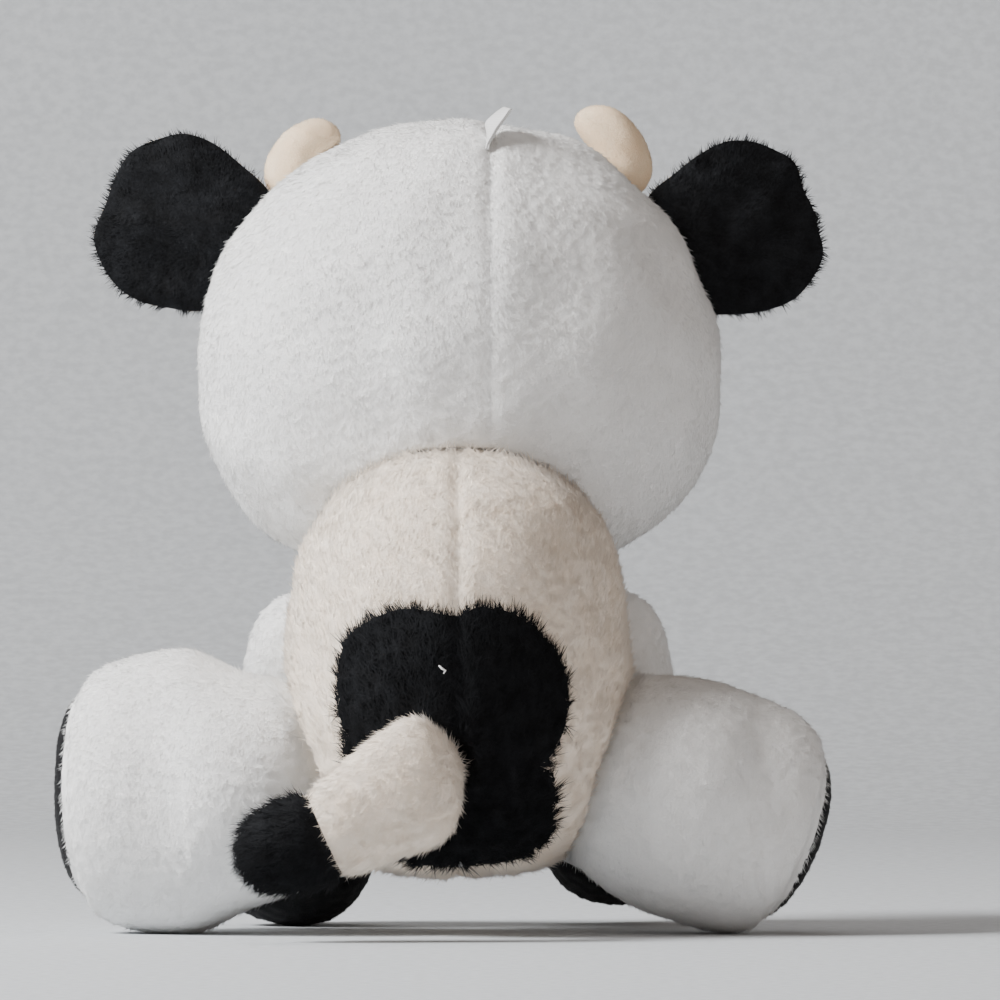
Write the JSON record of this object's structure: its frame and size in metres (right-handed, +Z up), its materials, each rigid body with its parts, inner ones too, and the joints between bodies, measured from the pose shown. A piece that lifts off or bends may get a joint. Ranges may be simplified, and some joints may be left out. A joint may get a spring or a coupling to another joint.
{
  "type": "plush cow",
  "caption": "Seated plush cow: rounded body with a black rump patch, big head with muzzle, ears and horns, four stuffed legs and a tufted tail.",
  "frame": {"origin": "middle of the toy's footprint box, on the surface that it sits on", "axes": "+Z up, +Y the way the toy faces, +X to the right of somebody who looks at its back"},
  "size_m": [0.2343, 0.2101, 0.2478],
  "materials": {
    "white_fur": "dense short pile, cool white",
    "cream_fur": "dense pile, warm ivory",
    "black_fur": "longer black pile",
    "black_velour": "smooth short black nap",
    "peach_velour": "smooth short peach nap",
    "fibre_fill": "loose polyester fibre",
    "eye_plastic": "polished black",
    "washer_plastic": "moulded white",
    "satin_ribbon": "white satin"
  },
  "bodies": {
    "torso": {"back_panel_left": "cream_fur", "back_panel_right": "cream_fur", "belly_panel": "cream_fur", "rump_patch_left": "black_fur", "rump_patch_right": "black_fur", "body_stuffing": "fibre_fill"},
    "head": {"head_back_left": "white_fur", "head_back_right": "white_fur", "face_panel": "white_fur", "head_stuffing": "fibre_fill", "muzzle_skin": "peach_velour", "muzzle_stuffing": "fibre_fill", "eye_left": "eye_plastic", "eye_right": "eye_plastic", "eye_washer_left": "washer_plastic", "eye_washer_right": "washer_plastic", "hanging_loop": "satin_ribbon", "horn_skin_left": "peach_velour", "horn_skin_right": "peach_velour", "horn_stuffing_left": "fibre_fill", "horn_stuffing_right": "fibre_fill"},
    "ear_left": {"ear_back_left": "black_fur", "ear_lining_left": "peach_velour"},
    "ear_right": {"ear_back_right": "black_fur", "ear_lining_right": "peach_velour"},
    "front_leg_left": {"front_leg_skin_left": "white_fur", "front_hoof_left": "black_velour", "front_leg_stuffing_left": "fibre_fill"},
    "front_leg_right": {"front_leg_skin_right": "white_fur", "front_hoof_right": "black_velour", "front_leg_stuffing_right": "fibre_fill"},
    "hind_leg_left": {"hind_leg_skin_left": "white_fur", "hind_sole_left": "black_velour", "hind_leg_stuffing_left": "fibre_fill"},
    "hind_leg_right": {"hind_leg_skin_right": "white_fur", "hind_sole_right": "black_velour", "hind_leg_stuffing_right": "fibre_fill"},
    "tail": {"tail_sleeve": "cream_fur", "tail_tuft": "black_fur", "tail_stuffing": "fibre_fill"}
  },
  "joints": [
    {"name": "neck", "type": "hinge", "parent": "torso", "child": "head", "pos_m": [0.0044, -0.024, 0.0966], "axis": [0, 0.6691, 0.7431], "range_deg": [-18, 18], "stiffness_Nm_per_rad": 0.4},
    {"name": "ear_seam_left", "type": "hinge", "parent": "head", "child": "ear_left", "pos_m": [-0.06194, 0.034, 0.20462], "axis": [0.4086, 0, 0.9127], "range_deg": [-15, 15], "stiffness_Nm_per_rad": 0.05},
    {"name": "ear_seam_right", "type": "hinge", "parent": "head", "child": "ear_right", "pos_m": [0.07101, 0.03403, 0.20394], "axis": [-0.3437, 0, 0.9391], "range_deg": [-15, 15], "stiffness_Nm_per_rad": 0.05},
    {"name": "shoulder_left", "type": "hinge", "parent": "torso", "child": "front_leg_left", "pos_m": [-0.0376, 0.0328, 0.082], "axis": [1, 0, 0], "range_deg": [0, 40], "stiffness_Nm_per_rad": 0.4},
    {"name": "shoulder_right", "type": "hinge", "parent": "torso", "child": "front_leg_right", "pos_m": [0.0464, 0.0328, 0.082], "axis": [1, 0, 0], "range_deg": [0, 40], "stiffness_Nm_per_rad": 0.4},
    {"name": "hip_left", "type": "hinge", "parent": "torso", "child": "hind_leg_left", "pos_m": [-0.0596, -0.02, 0.0431], "axis": [-0.9607, 0.2755, -0.0349], "range_deg": [-20, 20], "stiffness_Nm_per_rad": 0.3},
    {"name": "hip_right", "type": "hinge", "parent": "torso", "child": "hind_leg_right", "pos_m": [0.0684, -0.02, 0.0423], "axis": [0.8937, 0.2904, -0.342], "range_deg": [-20, 20], "stiffness_Nm_per_rad": 0.3},
    {"name": "tail_root", "type": "hinge", "parent": "torso", "child": "tail", "pos_m": [0.0014, -0.07233, 0.0525], "axis": [0, 1, 0], "range_deg": [-6, 60], "stiffness_Nm_per_rad": 0.1}
  ]
}
